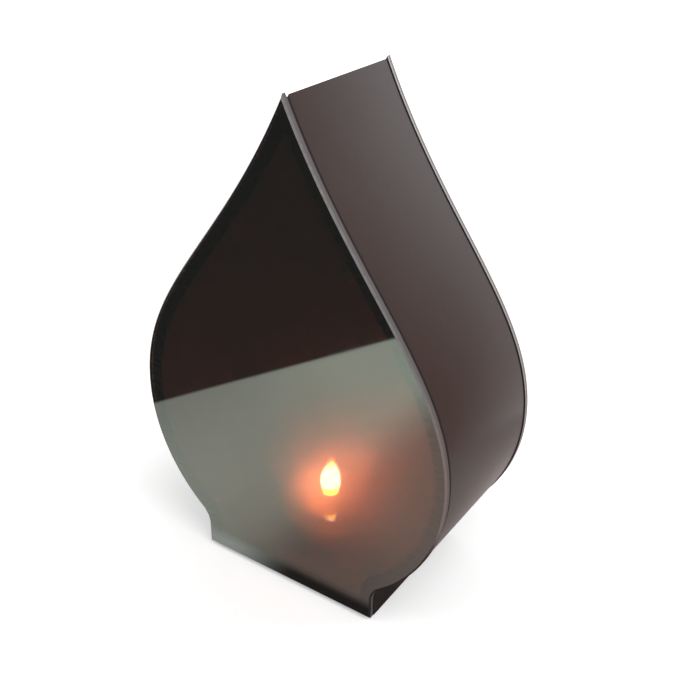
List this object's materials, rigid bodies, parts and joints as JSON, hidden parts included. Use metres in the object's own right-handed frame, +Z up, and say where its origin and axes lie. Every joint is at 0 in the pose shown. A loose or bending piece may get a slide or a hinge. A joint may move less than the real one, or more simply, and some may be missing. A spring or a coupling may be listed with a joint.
{
  "type": "flame shaped wall sconce",
  "caption": "Flame-shaped wall sconce with a smoked mirror glass front, deep steel sides, a back plate with keyholes and a battery candle on a pull-out cup.",
  "frame": {"origin": "centre of the footprint, on the surface that the rubber feet stand on", "axes": "+Z up to the tip; the glass faces -Y and the back plate's wall face +Y; +X to the right seen from the front is +X"},
  "size_m": [0.235, 0.111, 0.343],
  "materials": {
    "smoked_mirror": "smoked, half-mirrored, polished",
    "bronze_paint": "satin bronze-black paint",
    "plate_paint": "satin dark paint, bare ground edge",
    "inner_black": "matt black paint",
    "cup_paint": "satin black paint",
    "black_seal": "matt black bonding strip",
    "black_rubber": "matt black",
    "zinc_steel": "zinc plated",
    "turned_aluminium": "turned, satin",
    "candle_plastic": "dark brown, glossy",
    "flame_plastic": "translucent, lit from inside",
    "lamp_plastic": "clear lamp, lit",
    "board_green": "solder mask",
    "switch_black": "black",
    "cell_steel": "bright steel can",
    "contact_brass": "bare"
  },
  "bodies": {
    "housing": {"left_wall": "bronze_paint", "right_wall": "bronze_paint", "front_flange": "inner_black", "rear_flange": "inner_black", "glass_seal": "black_seal", "front_glass": "smoked_mirror", "back_plate": "plate_paint", "keyhole_pockets": "inner_black", "back_nuts": "zinc_steel", "back_screws": "zinc_steel", "foot_floor": "inner_black", "cup_grommet": "black_rubber", "rubber_feet": "black_rubber", "feet_screws": "zinc_steel", "feet_nuts": "zinc_steel"},
    "cup": {"candle_cup": "cup_paint", "cup_base": "cup_paint", "pull_knob": "turned_aluminium", "knob_stud": "zinc_steel"},
    "candle": {"candle_shell": "candle_plastic", "flame_tip": "flame_plastic", "led_lamp": "lamp_plastic", "candle_board": "board_green", "switch_body": "switch_black", "candle_base": "candle_plastic", "coin_cell": "cell_steel", "plus_contact": "contact_brass", "minus_contact": "contact_brass"},
    "switch": {"switch_slider": "switch_black"},
    "door": {"battery_door": "candle_plastic"}
  },
  "joints": [
    {"name": "cup_drop", "type": "slide", "parent": "housing", "child": "cup", "axis": [0, 0, -1], "range_m": [0, 0.07]},
    {"name": "candle_lift", "type": "slide", "parent": "cup", "child": "candle", "axis": [0, 0, 1], "range_m": [0, 0.025]},
    {"name": "switch_slide", "type": "slide", "parent": "candle", "child": "switch", "axis": [0, 1, 0], "range_m": [0, 0.0026]},
    {"name": "door_turn", "type": "hinge", "parent": "candle", "child": "door", "pos_m": [-0.003, 0, 0.02], "axis": [0, 0, 1], "range_deg": [0, 35]}
  ]
}
